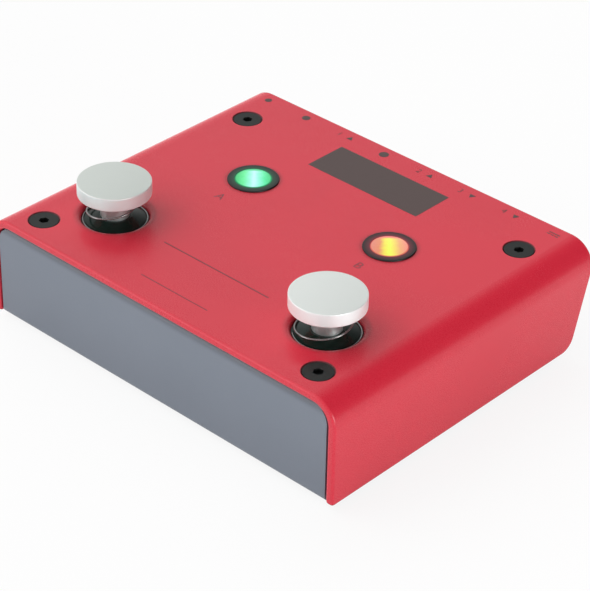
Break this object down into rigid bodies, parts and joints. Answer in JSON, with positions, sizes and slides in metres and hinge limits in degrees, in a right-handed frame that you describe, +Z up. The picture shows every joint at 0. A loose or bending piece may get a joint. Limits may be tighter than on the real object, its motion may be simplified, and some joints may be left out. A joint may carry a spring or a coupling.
{
  "type": "aby switch pedal",
  "caption": "Foot-operated channel switch box: folded sheet-metal casing with sprung foot switches, indicator lamps, rear jack sockets and push-buttons.",
  "frame": {"origin": "middle of the casing's footprint, on the plane that the feet stand on", "axes": "+X to the right seen from the foot-switch side, +Y to the rear with the sockets, +Z up"},
  "size_m": [0.126, 0.1028, 0.0433],
  "materials": {
    "cover_paint": "satin red stove enamel",
    "tray_paint": "satin blue-grey paint",
    "rubber": "matt black rubber",
    "black_screw": "blackened steel",
    "zinc_steel": "zinc plated steel",
    "cap_aluminium": "satin anodised aluminium",
    "shaft_steel": "polished steel",
    "spring_steel": "bright spring wire",
    "guide_black": "glossy black plastic",
    "switch_housing": "matt black plastic",
    "plunger_white": "white plastic",
    "bezel_black": "satin black",
    "lens_green": "translucent, lit green",
    "lens_yellow": "translucent, lit yellow-green",
    "tinned_wire": "tinned",
    "board_laminate": "green lacquered laminate",
    "relay_white": "pale plastic",
    "transformer_tape": "yellow tape over the winding",
    "chip_resin": "black resin",
    "can_aluminium": "drawn aluminium",
    "socket_plastic": "black plastic",
    "nickel": "nickel plated brass",
    "contact_bronze": "sprung bronze",
    "button_plastic": "black plastic"
  },
  "bodies": {
    "root": {"top_cover": "cover_paint", "chassis_tray": "tray_paint", "rubber_foot_front_left": "rubber", "rubber_foot_front_right": "rubber", "rubber_foot_rear_left": "rubber", "rubber_foot_rear_right": "rubber", "cover_screws": "black_screw", "press_nuts": "zinc_steel", "guide_nuts": "zinc_steel", "lamp_nuts": "zinc_steel", "board_spacers": "zinc_steel", "board_screws": "zinc_steel", "return_spring_a": "spring_steel", "footswitch_guide_a": "guide_black", "switch_module_a": "switch_housing", "lamp_bezel_a": "bezel_black", "lamp_leads_a": "tinned_wire", "signal_relay_a": "relay_white", "return_spring_b": "spring_steel", "footswitch_guide_b": "guide_black", "switch_module_b": "switch_housing", "lamp_bezel_b": "bezel_black", "lamp_leads_b": "tinned_wire", "signal_relay_b": "relay_white", "lamp_led_a": "lens_green", "lamp_led_b": "lens_yellow", "main_board": "board_laminate", "isolation_transformer": "transformer_tape", "microcontroller": "chip_resin", "filter_capacitor": "can_aluminium", "jack_body_1": "socket_plastic", "jack_bushing_1": "nickel", "jack_contact_1": "contact_bronze", "jack_body_2": "socket_plastic", "jack_bushing_2": "nickel", "jack_contact_2": "contact_bronze", "jack_body_3": "socket_plastic", "jack_bushing_3": "nickel", "jack_contact_3": "contact_bronze", "jack_body_4": "socket_plastic", "jack_bushing_4": "nickel", "jack_contact_4": "contact_bronze", "jack_nuts": "nickel", "jack_washers": "nickel", "dc_socket_pin": "nickel", "dc_socket_body": "socket_plastic", "push_switch_body_1": "switch_housing", "push_switch_body_2": "switch_housing", "push_switch_body_3": "switch_housing"},
    "footswitch_a": {"footswitch_cap_a": "cap_aluminium", "footswitch_shaft_a": "shaft_steel", "shaft_clip_a": "spring_steel"},
    "plunger_a": {"switch_plunger_a": "plunger_white"},
    "footswitch_b": {"footswitch_cap_b": "cap_aluminium", "footswitch_shaft_b": "shaft_steel", "shaft_clip_b": "spring_steel"},
    "plunger_b": {"switch_plunger_b": "plunger_white"},
    "button_1": {"push_button_1": "button_plastic"},
    "button_2": {"push_button_2": "button_plastic"},
    "button_3": {"push_button_3": "button_plastic"}
  },
  "joints": [
    {"name": "footswitch_a_press", "type": "slide", "parent": "root", "child": "footswitch_a", "axis": [0, 0, -1], "range_m": [0, 0.004], "stiffness_N_per_m": 600, "springref_m": -0.0035, "deforming": ["return_spring_a"]},
    {"name": "plunger_a_press", "type": "slide", "parent": "root", "child": "plunger_a", "axis": [0, 0, -1], "range_m": [0, 0.004]},
    {"name": "footswitch_b_press", "type": "slide", "parent": "root", "child": "footswitch_b", "axis": [0, 0, -1], "range_m": [0, 0.004], "stiffness_N_per_m": 600, "springref_m": -0.0035, "deforming": ["return_spring_b"]},
    {"name": "plunger_b_press", "type": "slide", "parent": "root", "child": "plunger_b", "axis": [0, 0, -1], "range_m": [0, 0.004]},
    {"name": "button_1_press", "type": "slide", "parent": "root", "child": "button_1", "axis": [0, -1, 0], "range_m": [0, 0.0025], "stiffness_N_per_m": 400, "springref_m": -0.002},
    {"name": "button_2_press", "type": "slide", "parent": "root", "child": "button_2", "axis": [0, -1, 0], "range_m": [0, 0.0025], "stiffness_N_per_m": 400, "springref_m": -0.002},
    {"name": "button_3_press", "type": "slide", "parent": "root", "child": "button_3", "axis": [0, -1, 0], "range_m": [0, 0.0025], "stiffness_N_per_m": 400, "springref_m": -0.002}
  ],
  "couplings": [
    {"joint": "plunger_a_press", "follows": "footswitch_a_press", "ratio": 1},
    {"joint": "plunger_b_press", "follows": "footswitch_b_press", "ratio": 1}
  ]
}
